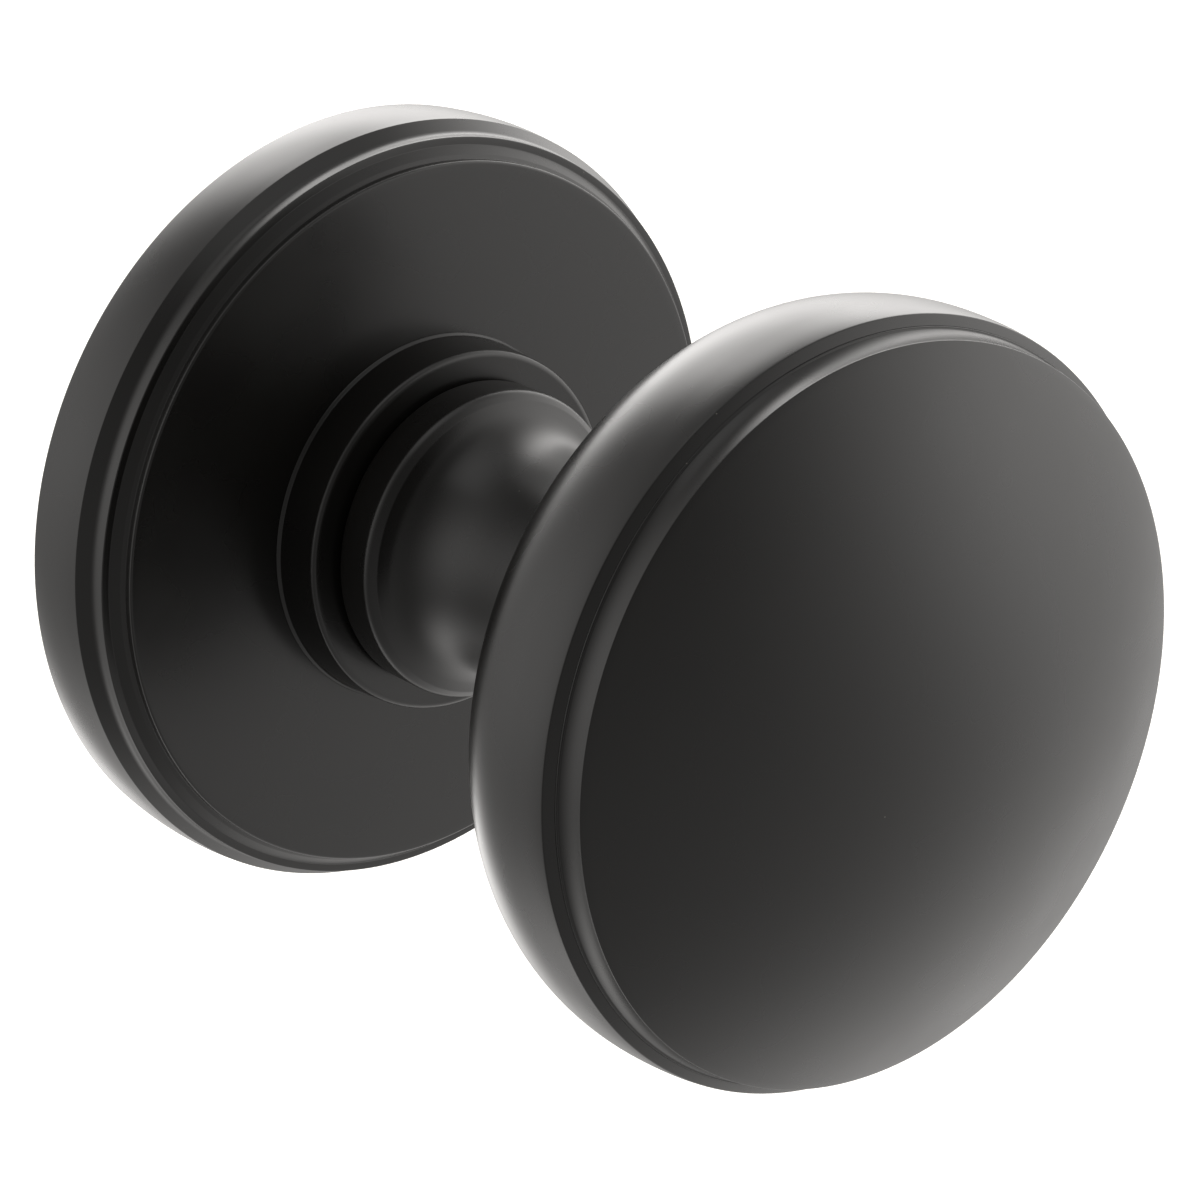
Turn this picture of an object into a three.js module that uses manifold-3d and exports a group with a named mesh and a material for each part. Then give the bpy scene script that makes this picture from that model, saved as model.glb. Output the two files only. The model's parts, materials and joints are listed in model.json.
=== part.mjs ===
// A door knob on a round rose, one half of a set, as the separate pieces that it is put together from.
// Millimetres, +Z up. The origin is the centre of the rose's back, in the plane of the door's face.
// The knob stands out from the door along -Y, and the spindle and bolt posts reach into the door along +Y.
import * as THREE from 'three';
import { mergeVertices } from 'three/addons/utils/BufferGeometryUtils.js';
import Module from 'manifold-3d';

const wasm = await Module();
wasm.setup();

// Driving dimensions. "out" is a distance out from the door's face, "r" is a radius about the knob's axis.
const gap = 0.3; // clearance between neighbouring pieces
const largeSides = 56; // facets round the rose and the knob
const smallSides = 32; // facets round the neck and everything inside
const curveSteps = 3; // straight steps in each curved stretch of an outline

// The rose's side runs up to a corner, a ledge and a crest, then a band and a groove lead to the face.
const rose = {
  backR: 32.75, bulgeR: 33.3, cornerR: 33, cornerOut: 6, ledgeR: 32.25, ledgeOut: 7.1, coveOut: 7.4,
  crestR: 32.05, crestOut: 8.4, bandR: 31.4, bandOut: 8.45, grooveR: 30.75, grooveOut: 9.1,
  edgeR: 30.4, edgeFootOut: 9.2, edgeOut: 10.1, seatR: 16.2, seatOut: 10.67, holeR: 14.5, wall: 1.3,
};
const collar = { r: 15.65, frontOut: 15.22, lip: 1.1, lipHoleR: 11.7, wall: 2.1, round: 0.5, spigotOut: 9.2 };
// Above its flange the neck narrows to a waist, by way of a shoulder, and flares out again under the knob.
const neck = {
  journalR: 11.1, flangeR: 13.3, flangeBackOut: 15.6, flangeOut: 19.7, flangeEdge: 0.4, flangeRound: 0.7,
  shoulderR: 8.3, shoulderOut: 21.5, throatOut: 28, waistR: 8.6, waistOut: 42, flareOut: 44.1, flareR: 11.2,
  lipOut: 45.3, topR: 13.2, topOut: 46.7, boreR: 7.3,
};
// The back shell runs from its boss over a bowl to the rim and its corner. The face cap sits in a rebate inside
// the corner, with a cove up to the arris round its dome.
const knob = {
  bossR: 13.4, backOut: 47, bowlR: 19.4, bowlRise: 1.6, heelR: 25, heelRise: 2.6, backR: 28, backRimOut: 51.2,
  shoulderR: 30.8, shoulderRise: 1.6, rimRise: 5, rimR: 32.35, sideOut: 60, cornerR: 32.3, cornerOut: 64.43,
  ledgeR: 31.4, ledgeOut: 64.95, coveR: 30.85, coveRise: 0.6, footRise: 0.2, arrisR: 30.8, arrisOut: 67.35,
  topOut: 76.9, domeSteps: 5, wall: 1.4, skirtOut: 59.2, rebateOut: 62.9, rebate: 0.6,
};
const plate = { r: 30.6, thickness: 2.4, holeR: 11.5, woodScrewR: 26.6, woodScrewHoleR: 2.4 };
const cassette = {
  r: 18.2, innerR: 17, flangeR: 23.6, flangeOut: 3.3, frontInnerOut: 8.1, frontOut: 8.9, holeR: 8,
  coverR: 16.7, coverBackOut: 3.4, coverOut: 4.1, screwCircleR: 21.2, stopR: 13.4, stopBackOut: 6.6,
  stopHalfAngle: 6, buried: 0.6,
};
const sleeve = {
  r: 7, headR: 9.5, headOut: 50.8, endOut: 52, backOut: 0.8, groove: 0.5, grooveOut: 1.4, grooveEnd: 2.3,
};
const retainer = { grip: 0.2, outerR: 9.4, backOut: 1.5, frontOut: 2.2, openHalfAngle: 32 };
const thrustWasher = { r: 10.6, backOut: 2.5, frontOut: 3.1 };
const spindle = { side: 8, chamfer: 0.7, frontOut: 46, backOut: -28 };
const cam = {
  r: 9.4, rootR: 8.4, backOut: 4.4, frontOut: 7.7, bridgeOut: 7, armR: 14.6, stopR: 15.2, halfAngle: 12,
  fingerR: 12.6,
};
const spring = {
  wireR: 0.42, coilR: 11.4, bendR: 13.6, legR: 16.4, legAngle: 16, startOut: 4.7, pitch: 0.88, wholeTurns: 2,
  coilSteps: 28, wireSides: 8, wireSteps: 60,
};
const turnLimit = 60; // degrees each way
const stopClearance = 1; // degrees left between the cam's lug and a stop at the limit
const post = {
  spacing: 38, r: 3, headR: 4.2, headBackOut: 1, headOut: 2.1, backOut: -12, chamfer: 0.4, threadR: 1.7,
  threadDepth: 10, drillPoint: 1, seatOut: 0.9,
};
const machineScrew = {
  r: 1.5, headR: 2.6, headHeight: 1.6, crown: 0.7, crownR: 1.7, tipOut: 0.5, slotLength: 2.6, slotWidth: 0.7,
  slotDepth: 0.7,
};
const rivet = { r: 1.1, headR: 1.8, headHeight: 0.9, circleR: 26, tipOut: 0.2 };
const clip = {
  width: 8, innerR: 24, thickness: 0.6, bulgeR: 31, bulgeOut: 4.9, tipR: 30.1, tipOut: 6.2, bendR: 29.2,
  outerBendR: 30.4, innerBendR: 29.9, footR: 28.8, tipSlant: 0.2,
};
const setScrew = {
  r: 2.5, out: 17.7, innerR: 4.3, outerR: 12.4, socketR: 1.45, socketDepth: 2.5, holeEndR: 17,
};
const fastenerSides = 14;
const rivetSides = 10;

const satinBlack = new THREE.MeshStandardMaterial({ color: 0x24221f, roughness: 0.42, metalness: 0.6 });
const zincSteel = new THREE.MeshStandardMaterial({ color: 0xb4b4ae, roughness: 0.45, metalness: 1 });
const springSteel = new THREE.MeshStandardMaterial({ color: 0x6a6a6c, roughness: 0.35, metalness: 1 });
const castBrass = new THREE.MeshStandardMaterial({ color: 0xb48a4a, roughness: 0.4, metalness: 1 });
const nylon = new THREE.MeshStandardMaterial({ color: 0xe6e2d6, roughness: 0.6, metalness: 0 });
const blackOxide = new THREE.MeshStandardMaterial({ color: 0x1c1c1e, roughness: 0.5, metalness: 0.8 });

const screwAngles = [0, 120, 240];
const clipAngles = [90, 210, 330];
const degrees = THREE.MathUtils.degToRad;

function named(name, geometry, material) {
  const mesh = new THREE.Mesh(geometry, material);
  mesh.name = name;
  return mesh;
}

// A path through corners, each [radius, out]. A corner of four numbers curves towards its first two on the way
// to its last two, and one of six is a cubic with two such points.
function outline(corners, closed = true) {
  const path = new THREE.Path();
  const [start, ...rest] = closed ? [...corners, corners[0].slice(-2)] : corners;
  path.moveTo(...start.slice(-2));
  for (const corner of rest) {
    if (corner.length === 6) path.bezierCurveTo(...corner);
    else if (corner.length === 4) path.quadraticCurveTo(...corner);
    else path.lineTo(...corner);
  }
  return path;
}

// A solid turned about the knob's axis from an outline that closes on itself, or starts and ends on the axis.
function turned(path, sides = smallSides) {
  const points = path.getPoints(curveSteps).map((p) => new THREE.Vector2(p.x, -p.y));
  if (THREE.ShapeUtils.area(points) < 0) points.reverse();
  return new THREE.LatheGeometry(points, sides);
}

function ring(innerR, outerR, backOut, frontOut, sides = smallSides) {
  return turned(outline([[innerR, backOut], [outerR, backOut], [outerR, frontOut], [innerR, frontOut]]), sides);
}

// A flat shape in X and Z, as thick as from backOut to frontOut.
function slab(shape, backOut, frontOut) {
  return new THREE.ExtrudeGeometry(shape, { depth: frontOut - backOut, bevelEnabled: false, curveSegments: 7 })
    .rotateX(Math.PI / 2)
    .translate(0, -backOut, 0);
}

// A sector of a ring, centred on an angle in degrees from +X towards +Z.
function sector(innerR, outerR, angle, halfAngle) {
  const [from, to] = [degrees(angle - halfAngle), degrees(angle + halfAngle)];
  const shape = new THREE.Shape();
  shape.absarc(0, 0, outerR, from, to, false);
  shape.absarc(0, 0, innerR, to, from, true);
  shape.closePath();
  return shape;
}

function polar(r, angle) {
  return new THREE.Vector2(r * Math.cos(degrees(angle)), r * Math.sin(degrees(angle)));
}

function drill(r, length, sides = fastenerSides) {
  return new THREE.CylinderGeometry(r, r, length, sides);
}

// Cuts and joins
function toSolid(geometry) {
  const bare = geometry.clone();
  bare.deleteAttribute('normal');
  bare.deleteAttribute('uv');
  const merged = mergeVertices(bare, 1e-4);
  const triVerts = new Uint32Array(merged.index.array);
  return new wasm.Manifold(
    new wasm.Mesh({ numProp: 3, vertProperties: merged.attributes.position.array, triVerts }),
  );
}

function toGeometry(solid) {
  const { vertProperties, triVerts } = solid.getMesh();
  const geometry = new THREE.BufferGeometry();
  geometry.setAttribute('position', new THREE.BufferAttribute(vertProperties, 3));
  geometry.setIndex(new THREE.BufferAttribute(triVerts, 1));
  geometry.computeVertexNormals();
  return geometry;
}

function cutAndJoined(base, cutters, additions = []) {
  let solid = toSolid(base);
  for (const addition of additions) solid = solid.add(toSolid(addition));
  for (const cutter of cutters) solid = solid.subtract(toSolid(cutter));
  return toGeometry(solid);
}

// The radial hole for the set screw, on the underside.
function setScrewHole() {
  const startR = setScrew.innerR - 2 * gap;
  return drill(setScrew.r + gap, setScrew.holeEndR - startR)
    .rotateX(Math.PI / 2)
    .translate(0, -setScrew.out, -(startR + setScrew.holeEndR) / 2);
}

function makeRoseCover() {
  const { wall } = rose;
  const innerR = rose.backR - wall;
  return turned(outline([
    [rose.backR, 0],
    [rose.bulgeR, rose.cornerOut / 2, rose.cornerR, rose.cornerOut],
    [rose.ledgeR, rose.ledgeOut],
    [rose.crestR, rose.coveOut, rose.crestR, rose.crestOut],
    [rose.bandR, rose.bandOut],
    [rose.grooveR, rose.grooveOut],
    [rose.edgeR, rose.edgeFootOut],
    [rose.edgeR, rose.edgeOut],
    [rose.seatR, rose.seatOut],
    [rose.holeR, rose.seatOut],
    [rose.holeR, rose.seatOut - wall],
    [rose.edgeR - wall, rose.edgeOut - wall],
    [innerR, rose.crestOut - wall, innerR, rose.cornerOut - wall],
    [innerR, 0],
  ]), largeSides);
}

function makeRoseCollar() {
  const spigotR = rose.holeR - gap;
  const { r, frontOut, round } = collar;
  const innerR = r - collar.wall;
  return turned(outline([
    [spigotR, collar.spigotOut],
    [spigotR, rose.seatOut],
    [r, rose.seatOut],
    [r, frontOut - round],
    [r, frontOut, r - round, frontOut],
    [collar.lipHoleR, frontOut],
    [collar.lipHoleR, frontOut - collar.lip],
    [innerR, frontOut - collar.lip],
    [innerR, collar.spigotOut],
  ]));
}

function makeCollarBush() {
  return ring(neck.journalR + gap, collar.r - collar.wall - gap, collar.spigotOut,
    collar.frontOut - collar.lip - gap);
}

function makeNeck() {
  const { boreR, journalR, flangeR, flangeBackOut, flangeOut, flangeEdge, flangeRound, shoulderR } = neck;
  const { shoulderOut, throatOut, waistR, waistOut, flareOut, flareR, lipOut, topR, topOut } = neck;
  const profile = outline([
    [boreR, collar.spigotOut + gap],
    [journalR, collar.spigotOut + gap],
    [journalR, flangeBackOut],
    [flangeR - flangeEdge, flangeBackOut],
    [flangeR, flangeBackOut + flangeEdge],
    [flangeR, flangeOut - flangeRound],
    [flangeR, flangeOut, flangeR - flangeRound, flangeOut],
    [shoulderR, shoulderOut, waistR, throatOut, waistR, waistOut],
    [waistR, flareOut, flareR, lipOut, topR, topOut],
    [boreR, topOut],
  ]);
  return cutAndJoined(turned(profile), [setScrewHole()]);
}

function makeKnobBackShell() {
  const { wall, bossR, backOut, bowlR, bowlRise, heelR, heelRise, backR, backRimOut, shoulderR } = knob;
  const { shoulderRise, rimRise, rimR, sideOut, cornerR, cornerOut, ledgeR, ledgeOut, rebateOut, skirtOut } = knob;
  const skirtR = ledgeR - knob.rebate;
  return turned(outline([
    [neck.boreR, backOut],
    [bossR, backOut],
    [bowlR, backOut + bowlRise, heelR, backOut + heelRise, backR, backRimOut],
    [shoulderR, backRimOut + shoulderRise, rimR, backRimOut + rimRise, rimR, sideOut],
    [cornerR, cornerOut],
    [ledgeR, ledgeOut],
    [ledgeR, rebateOut],
    [skirtR, rebateOut],
    [skirtR, skirtOut - gap],
    [skirtR, skirtOut - heelRise, backR + wall, backRimOut + 2 * wall, backR - wall / 2, backRimOut + wall],
    [heelR, backOut + heelRise + wall, bowlR, backOut + bowlRise + wall, bossR, backOut + wall],
    [neck.boreR, backOut + wall],
  ]), largeSides);
}

// Centre and radius of the sphere that a dome of this rise and half width belongs to.
function domeSphere(halfWidth, rise, topOut) {
  const radius = (halfWidth * halfWidth + rise * rise) / (2 * rise);
  return { radius, centreOut: topOut - radius, angle: Math.asin(halfWidth / radius) };
}

function domePoints(halfWidth, rise, topOut, steps) {
  const { radius, centreOut, angle } = domeSphere(halfWidth, rise, topOut);
  return Array.from({ length: steps + 1 }, (_, i) => {
    const a = (angle * i) / steps;
    return [radius * Math.sin(a), centreOut + radius * Math.cos(a)];
  });
}

function makeKnobFaceCap() {
  const { wall, arrisR, arrisOut, topOut, domeSteps, coveR, coveRise, footRise } = knob;
  const { ledgeR, ledgeOut, rebateOut, skirtOut } = knob;
  const stepR = ledgeR - gap;
  const skirtR = stepR - knob.rebate;
  const innerR = skirtR - wall;
  const outside = domePoints(arrisR, topOut - arrisOut, topOut, domeSteps);
  const inside = domePoints(innerR, topOut - arrisOut - gap, topOut - wall, domeSteps).reverse();
  const rim = [
    [coveR, ledgeOut + coveRise, stepR, ledgeOut + footRise],
    [stepR, rebateOut + gap],
    [skirtR, rebateOut + gap],
    [skirtR, skirtOut],
    [innerR, skirtOut],
  ];
  return turned(outline([...outside, ...rim, ...inside], false), largeSides);
}

function makeShankSleeve() {
  const { r, headR, headOut, endOut, backOut, groove, grooveOut, grooveEnd } = sleeve;
  const hole = spindle.side + 2 * gap;
  const profile = outline([
    [0, backOut],
    [r, backOut],
    [r, grooveOut],
    [r - groove, grooveOut],
    [r - groove, grooveEnd],
    [r, grooveEnd],
    [r, headOut],
    [headR, headOut],
    [headR, endOut],
    [0, endOut],
  ], false);
  const square = new THREE.BoxGeometry(hole, 2 * endOut, hole).translate(0, -endOut / 2, 0);
  return cutAndJoined(turned(profile), [square, setScrewHole()]);
}

function makeSpindle() {
  const half = spindle.side / 2;
  const flat = half - spindle.chamfer;
  const shape = new THREE.Shape();
  shape.moveTo(half, flat);
  for (const [x, z] of [[flat, half], [-flat, half], [-half, flat], [-half, -flat], [-flat, -half],
    [flat, -half], [half, -flat]]) shape.lineTo(x, z);
  shape.closePath();
  return slab(shape, spindle.backOut, spindle.frontOut);
}

function makeSpringCam() {
  const { r, rootR, backOut, frontOut, bridgeOut, armR, stopR, halfAngle, fingerR } = cam;
  const bridge = slab(sector(rootR, armR, 90, halfAngle), bridgeOut, frontOut);
  const finger = slab(sector(fingerR, armR, 90, halfAngle), backOut + gap, frontOut);
  const stopLug = slab(sector(rootR, stopR, 270, halfAngle), bridgeOut, frontOut);
  return cutAndJoined(ring(neck.boreR, r, backOut, frontOut), [], [bridge, finger, stopLug]);
}

function makeRetainingRing() {
  const { grip, outerR, backOut, frontOut, openHalfAngle } = retainer;
  return slab(sector(sleeve.r - sleeve.groove + grip, outerR, 90, 180 - openHalfAngle), backOut, frontOut);
}

function hole(shape, centre, r) {
  const path = new THREE.Path();
  path.absarc(centre.x, centre.y, r, 0, 2 * Math.PI, true);
  shape.holes.push(path);
}

function makeMountingPlate() {
  const shape = new THREE.Shape();
  shape.absarc(0, 0, plate.r, 0, 2 * Math.PI, false);
  hole(shape, polar(0, 0), plate.holeR);
  for (const angle of [0, 180]) hole(shape, polar(plate.woodScrewR, angle), plate.woodScrewHoleR);
  for (const angle of screwAngles) hole(shape, polar(cassette.screwCircleR, angle), machineScrew.r + gap);
  for (const angle of clipAngles) hole(shape, polar(rivet.circleR, angle), rivet.r + gap);
  const flat = new THREE.ExtrudeGeometry(shape, { depth: plate.thickness, bevelEnabled: false, curveSegments: 11 })
    .rotateX(Math.PI / 2);
  const cutters = [1, -1].flatMap((side) => {
    const z = (side * post.spacing) / 2;
    const through = drill(post.r + gap, 3 * plate.thickness).translate(0, 0, z);
    const seat = drill(post.headR + gap, plate.thickness).translate(0, -post.seatOut - plate.thickness / 2, z);
    return [through, seat];
  });
  return cutAndJoined(flat, cutters);
}

// A cup that opens towards the door, with screw holes in its flange. Inside are the fixed tab that holds the
// spring's idle leg, and the two stops for the cam's lower lug.
function makeCassetteHousing() {
  const { r, innerR, flangeR, flangeOut, frontInnerOut, frontOut, holeR, screwCircleR } = cassette;
  const { stopR, stopBackOut, stopHalfAngle, buried } = cassette;
  const cup = turned(outline([
    [innerR, plate.thickness],
    [flangeR, plate.thickness],
    [flangeR, flangeOut],
    [r, flangeOut],
    [r, frontOut],
    [holeR, frontOut],
    [holeR, frontInnerOut],
    [innerR, frontInnerOut],
  ]));
  const tab = slab(sector(cam.armR + gap, innerR + buried, 90, cam.halfAngle), cam.backOut, frontInnerOut + buried);
  const stops = [1, -1].map((side) => {
    const angle = 270 + side * (turnLimit + cam.halfAngle + stopHalfAngle + stopClearance);
    return slab(sector(stopR, innerR + buried, angle, stopHalfAngle), stopBackOut, frontInnerOut + buried);
  });
  const holes = screwAngles.map((angle) => {
    const at = polar(screwCircleR, angle);
    return drill(machineScrew.r + gap, 2 * plate.thickness).translate(at.x, -flangeOut, at.y);
  });
  return cutAndJoined(cup, holes, [tab, ...stops]);
}

// The wire runs in along one leg, round the coil and out along the other. The legs grip the cam's finger and
// the housing's tab between them.
function makeReturnSpring() {
  const { wireR, coilR, bendR, legR, legAngle, startOut, pitch, wholeTurns, coilSteps, wireSides } = spring;
  const turns = wholeTurns - (2 * legAngle) / 360;
  const at = (r, angle, out) => {
    const p = polar(r, angle);
    return new THREE.Vector3(p.x, -out, p.y);
  };
  const points = [at(legR, 90 + legAngle, startOut), at(bendR, 90 + legAngle, startOut)];
  for (let i = 0; i <= coilSteps; i++) {
    const share = i / coilSteps;
    points.push(at(coilR, 90 + legAngle + 360 * turns * share, startOut + pitch * turns * share));
  }
  const endOut = startOut + pitch * turns;
  points.push(at(bendR, 90 - legAngle, endOut), at(legR, 90 - legAngle, endOut));
  const section = new THREE.Shape();
  for (let i = 0; i < wireSides; i++) {
    const p = polar(wireR, (360 * i) / wireSides);
    if (i) section.lineTo(p.x, p.y);
    else section.moveTo(p.x, p.y);
  }
  section.closePath();
  const route = new THREE.CatmullRomCurve3(points, false, 'centripetal');
  return new THREE.ExtrudeGeometry(section, { steps: spring.wireSteps, extrudePath: route, bevelEnabled: false });
}

function makeBoltPost() {
  const { r, headR, headBackOut, headOut, backOut, chamfer, threadR, threadDepth, drillPoint } = post;
  return turned(outline([
    [0, headOut],
    [headR, headOut],
    [headR, headBackOut],
    [r, headBackOut],
    [r, backOut + chamfer],
    [r - chamfer, backOut],
    [threadR, backOut],
    [threadR, backOut + threadDepth],
    [0, backOut + threadDepth + drillPoint],
  ], false), fastenerSides);
}

function makeCassetteScrew() {
  const { r, headR, headHeight, crown, crownR, tipOut, slotLength, slotWidth, slotDepth } = machineScrew;
  const seat = cassette.flangeOut;
  const top = seat + headHeight;
  const body = turned(outline([
    [0, tipOut],
    [r, tipOut],
    [r, seat],
    [headR, seat],
    [headR, top - crown],
    [headR, top, crownR, top],
    [0, top],
  ], false), fastenerSides);
  const slots = [0, 1].map((quarter) => new THREE.BoxGeometry(slotLength, 2 * slotDepth, slotWidth)
    .rotateY((quarter * Math.PI) / 2)
    .translate(0, -top, 0));
  return cutAndJoined(body, slots);
}

// A strip bent up from the plate, with a bulge near its tip that the rose snaps over.
function makeRoseClip() {
  const { width, innerR, thickness, bulgeR, bulgeOut, tipR, tipOut, tipSlant } = clip;
  const { bendR, outerBendR, innerBendR, footR } = clip;
  const base = plate.thickness;
  const shape = new THREE.Shape();
  shape.moveTo(innerR, base);
  shape.lineTo(bendR, base);
  shape.quadraticCurveTo(outerBendR, base, bulgeR, bulgeOut);
  shape.lineTo(tipR, tipOut);
  shape.lineTo(tipR - thickness, tipOut - tipSlant);
  shape.lineTo(bulgeR - thickness, bulgeOut);
  shape.quadraticCurveTo(innerBendR, base + thickness, footR, base + thickness);
  shape.lineTo(innerR, base + thickness);
  shape.closePath();
  const strip = new THREE.ExtrudeGeometry(shape, { depth: width, bevelEnabled: false, curveSegments: 3 })
    .translate(0, 0, -width / 2)
    .scale(1, -1, 1);
  flipFaces(strip);
  return cutAndJoined(strip, [drill(rivet.r + gap, 2 * base).translate(rivet.circleR, -base, 0)]);
}

// Mirroring turns a shape inside out, so each triangle's corners are put back in outward order.
function flipFaces(geometry) {
  const position = geometry.attributes.position;
  const [first, third] = [new THREE.Vector3(), new THREE.Vector3()];
  for (let i = 0; i < position.count; i += 3) {
    first.fromBufferAttribute(position, i);
    third.fromBufferAttribute(position, i + 2);
    position.setXYZ(i, third.x, third.y, third.z);
    position.setXYZ(i + 2, first.x, first.y, first.z);
  }
}

function makeClipRivet() {
  const { r, headR, headHeight, tipOut } = rivet;
  const seat = plate.thickness + clip.thickness;
  return turned(outline([
    [0, tipOut],
    [r, tipOut],
    [r, seat],
    [headR, seat],
    [headR, seat + headHeight, 0, seat + headHeight],
  ], false), rivetSides);
}

function makeSetScrew() {
  const { r, innerR, outerR, socketR, socketDepth } = setScrew;
  const length = outerR - innerR;
  const body = drill(r, length);
  const socket = drill(socketR, 2 * socketDepth, 6).translate(0, length / 2, 0);
  return cutAndJoined(body, [socket]).rotateX(-Math.PI / 2);
}

// A copy for each angle, turned about the knob's axis. The piece is made at angle 0, on the +X side.
function copiesAround(name, angles, geometry, material) {
  return angles.map((angle, i) => {
    const turnedGroup = new THREE.Group();
    turnedGroup.rotation.y = -degrees(angle);
    turnedGroup.add(named(`${name}_${i + 1}`, geometry, material));
    return turnedGroup;
  });
}

// Everything that stays still on the door
const fixed = new THREE.Group();
fixed.add(
  named('rose_cover', makeRoseCover(), satinBlack),
  named('rose_collar', makeRoseCollar(), satinBlack),
  named('collar_bush', makeCollarBush(), nylon),
  named('mounting_plate', makeMountingPlate(), zincSteel),
  named('cassette_housing', makeCassetteHousing(), zincSteel),
  named('cassette_cover', ring(neck.boreR + gap, cassette.coverR, cassette.coverBackOut, cassette.coverOut), zincSteel),
  named('return_spring', makeReturnSpring(), springSteel),
  ...copiesAround('cassette_screw', screwAngles, makeCassetteScrew().translate(cassette.screwCircleR, 0, 0), zincSteel),
  ...copiesAround('rose_clip', clipAngles, makeRoseClip(), springSteel),
  ...copiesAround('clip_rivet', clipAngles, makeClipRivet().translate(rivet.circleR, 0, 0), zincSteel),
);
for (const [name, side] of [['bolt_post_upper', 1], ['bolt_post_lower', -1]]) {
  const boltPost = named(name, makeBoltPost(), zincSteel);
  boltPost.position.z = (side * post.spacing) / 2;
  fixed.add(boltPost);
}

// Everything that turns with the knob
const turning = new THREE.Group();
turning.add(
  named('knob_face_cap', makeKnobFaceCap(), satinBlack),
  named('knob_back_shell', makeKnobBackShell(), satinBlack),
  named('neck', makeNeck(), satinBlack),
  named('backing_washer', ring(neck.boreR, knob.bossR - gap, knob.backOut + knob.wall, sleeve.headOut), zincSteel),
  named('shank_sleeve', makeShankSleeve(), zincSteel),
  named('spindle', makeSpindle(), zincSteel),
  named('spring_cam', makeSpringCam(), castBrass),
  named('thrust_washer', ring(neck.boreR, thrustWasher.r, thrustWasher.backOut, thrustWasher.frontOut), nylon),
  named('retaining_ring', makeRetainingRing(), springSteel),
);
const grubScrew = named('set_screw', makeSetScrew(), blackOxide);
grubScrew.position.set(0, -setScrew.out, -(setScrew.innerR + setScrew.outerR) / 2);
turning.add(grubScrew);

const doorKnob = new THREE.Group();
doorKnob.add(fixed, turning);

export default doorKnob;
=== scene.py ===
import json
import math

import bmesh
import bpy
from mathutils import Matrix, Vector


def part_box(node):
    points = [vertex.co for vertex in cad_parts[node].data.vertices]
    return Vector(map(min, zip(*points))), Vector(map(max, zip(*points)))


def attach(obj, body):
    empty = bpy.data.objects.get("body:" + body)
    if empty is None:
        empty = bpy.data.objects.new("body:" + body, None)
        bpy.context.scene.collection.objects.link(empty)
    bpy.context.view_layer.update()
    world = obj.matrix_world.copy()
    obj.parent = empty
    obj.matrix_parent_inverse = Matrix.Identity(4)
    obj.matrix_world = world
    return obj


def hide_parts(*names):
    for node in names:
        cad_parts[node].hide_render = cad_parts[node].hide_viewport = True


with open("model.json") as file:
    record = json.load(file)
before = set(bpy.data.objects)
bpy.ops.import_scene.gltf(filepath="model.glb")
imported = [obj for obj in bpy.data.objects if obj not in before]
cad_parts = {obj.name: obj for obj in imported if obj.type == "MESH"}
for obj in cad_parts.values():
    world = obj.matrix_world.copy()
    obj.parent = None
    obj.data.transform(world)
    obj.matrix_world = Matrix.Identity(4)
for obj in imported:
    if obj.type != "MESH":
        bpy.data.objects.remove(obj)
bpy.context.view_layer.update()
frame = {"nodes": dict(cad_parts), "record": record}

mm = 0.001
nodes = frame["nodes"]


# The door's face is the plane y = 0, and "out" is millimetres out from it, along -Y.
def nodeRadius(node):
    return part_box(node)[1].x / mm


def nodeFront(node):
    return -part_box(node)[0].y / mm


def nodeBack(node):
    return -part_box(node)[1].y / mm


def linear(hexColour):
    channels = [int(hexColour[i:i + 2], 16) / 255 for i in (1, 3, 5)]
    return [c / 12.92 if c <= 0.04045 else ((c + 0.055) / 1.055) ** 2.4 for c in channels] + [1.0]


def addNode(tree, kind, settings=None, links=None):
    # settings go to the input socket of that name or number, else to the node itself
    node = tree.nodes.new(kind)
    for name, value in (settings or {}).items():
        if isinstance(name, int) or name in node.inputs:
            node.inputs[name].default_value = value
        else:
            setattr(node, name, value)
    for name, source in (links or {}).items():
        tree.links.new(source, node.inputs[name])
    return node


def newMaterial(name):
    material = bpy.data.materials.new(name)
    material.use_nodes = True
    material.node_tree.nodes.clear()
    return material, material.node_tree


def finishMaterial(tree, settings, links):
    shader = addNode(tree, "ShaderNodeBsdfPrincipled", settings, links)
    addNode(tree, "ShaderNodeOutputMaterial", None, {"Surface": shader.outputs[0]})


def scaleFor(sizeMm):
    # a texture's scale, for features about this many millimetres across
    return 1 / (sizeMm * mm)


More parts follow.
